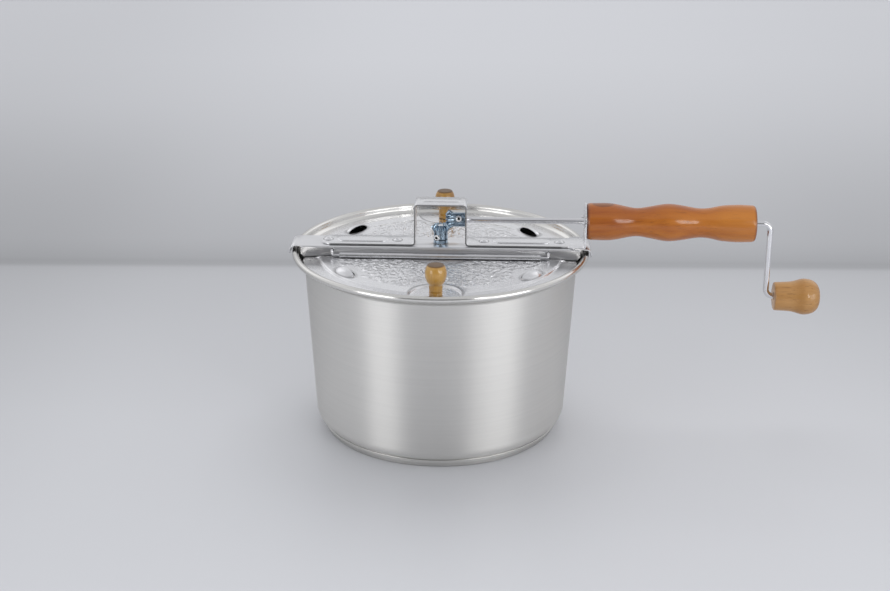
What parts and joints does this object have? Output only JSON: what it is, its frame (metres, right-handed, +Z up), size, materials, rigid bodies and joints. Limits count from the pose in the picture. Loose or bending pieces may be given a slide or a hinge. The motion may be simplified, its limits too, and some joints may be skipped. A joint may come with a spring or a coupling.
{
  "type": "hand-crank popcorn popper",
  "caption": "Stovetop popcorn popper: tapered steel pot, lift-off frame with hinged flaps, wooden handle, crank and gear-driven stirring wire.",
  "frame": {"origin": "centre of the base's flat underside", "axes": "+X along the handle towards the crank, +Z up, -Y towards the front flap"},
  "size_m": [0.4483, 0.25, 0.1983],
  "materials": {
    "brushed_steel": "fine brushed, turned round the wall",
    "polished_steel": "polished sheet steel",
    "bright_wire": "bright drawn wire",
    "zinc_plate": "blue zinc plate",
    "core_metal": "plain rolled",
    "handle_wood": "orange-brown lacquer, glossy",
    "flap_knob_wood": "golden lacquer, glossy",
    "crank_knob_wood": "pale satin lacquer",
    "nylon": "natural nylon"
  },
  "bodies": {
    "pot": {"pot_body": "brushed_steel", "base_core": "core_metal", "base_cap": "brushed_steel"},
    "lid_frame": {"bridge": "polished_steel", "gear_bracket": "polished_steel", "bracket_rivet_1": "polished_steel", "bracket_rivet_2": "polished_steel", "bracket_rivet_3": "polished_steel", "bracket_rivet_4": "polished_steel", "front_hinge_wire": "bright_wire", "back_hinge_wire": "bright_wire", "shaft_bush": "nylon", "handle": "handle_wood", "handle_screw_1": "zinc_plate", "handle_screw_2": "zinc_plate"},
    "front_flap": {"front_lid": "polished_steel", "front_knob": "flap_knob_wood", "front_knob_screw": "zinc_plate"},
    "back_flap": {"back_lid": "polished_steel", "back_knob": "flap_knob_wood", "back_knob_screw": "zinc_plate"},
    "crank": {"crank_rod": "bright_wire", "drive_gear": "zinc_plate", "drive_gear_pin": "bright_wire"},
    "crank_grip": {"crank_knob": "crank_knob_wood"},
    "stirrer": {"stirrer_shaft": "bright_wire", "driven_gear": "zinc_plate", "driven_gear_pin": "bright_wire", "shaft_clip": "bright_wire", "stir_wire": "bright_wire"}
  },
  "joints": [
    {"name": "lid_lift", "type": "slide", "parent": "pot", "child": "lid_frame", "axis": [0, 0, 1], "range_m": [0, 0.165]},
    {"name": "front_flap_hinge", "type": "hinge", "parent": "lid_frame", "child": "front_flap", "pos_m": [0, -0.0172, 0.1544], "axis": [-1, 0, 0], "range_deg": [0, 80]},
    {"name": "back_flap_hinge", "type": "hinge", "parent": "lid_frame", "child": "back_flap", "pos_m": [0, 0.0172, 0.1544], "axis": [1, 0, 0], "range_deg": [0, 80]},
    {"name": "crank_turn", "type": "hinge", "parent": "lid_frame", "child": "crank", "pos_m": [0, 0, 0.1815], "axis": [1, 0, 0], "continuous": true},
    {"name": "grip_turn", "type": "hinge", "parent": "crank", "child": "crank_grip", "pos_m": [0.3, 0, 0.1174], "axis": [1, 0, 0], "continuous": true},
    {"name": "stirrer_turn", "type": "hinge", "parent": "lid_frame", "child": "stirrer", "pos_m": [0, 0, 0.1612], "axis": [0, 0, 1], "continuous": true}
  ],
  "couplings": [
    {"joint": "stirrer_turn", "follows": "crank_turn", "ratio": 1}
  ]
}
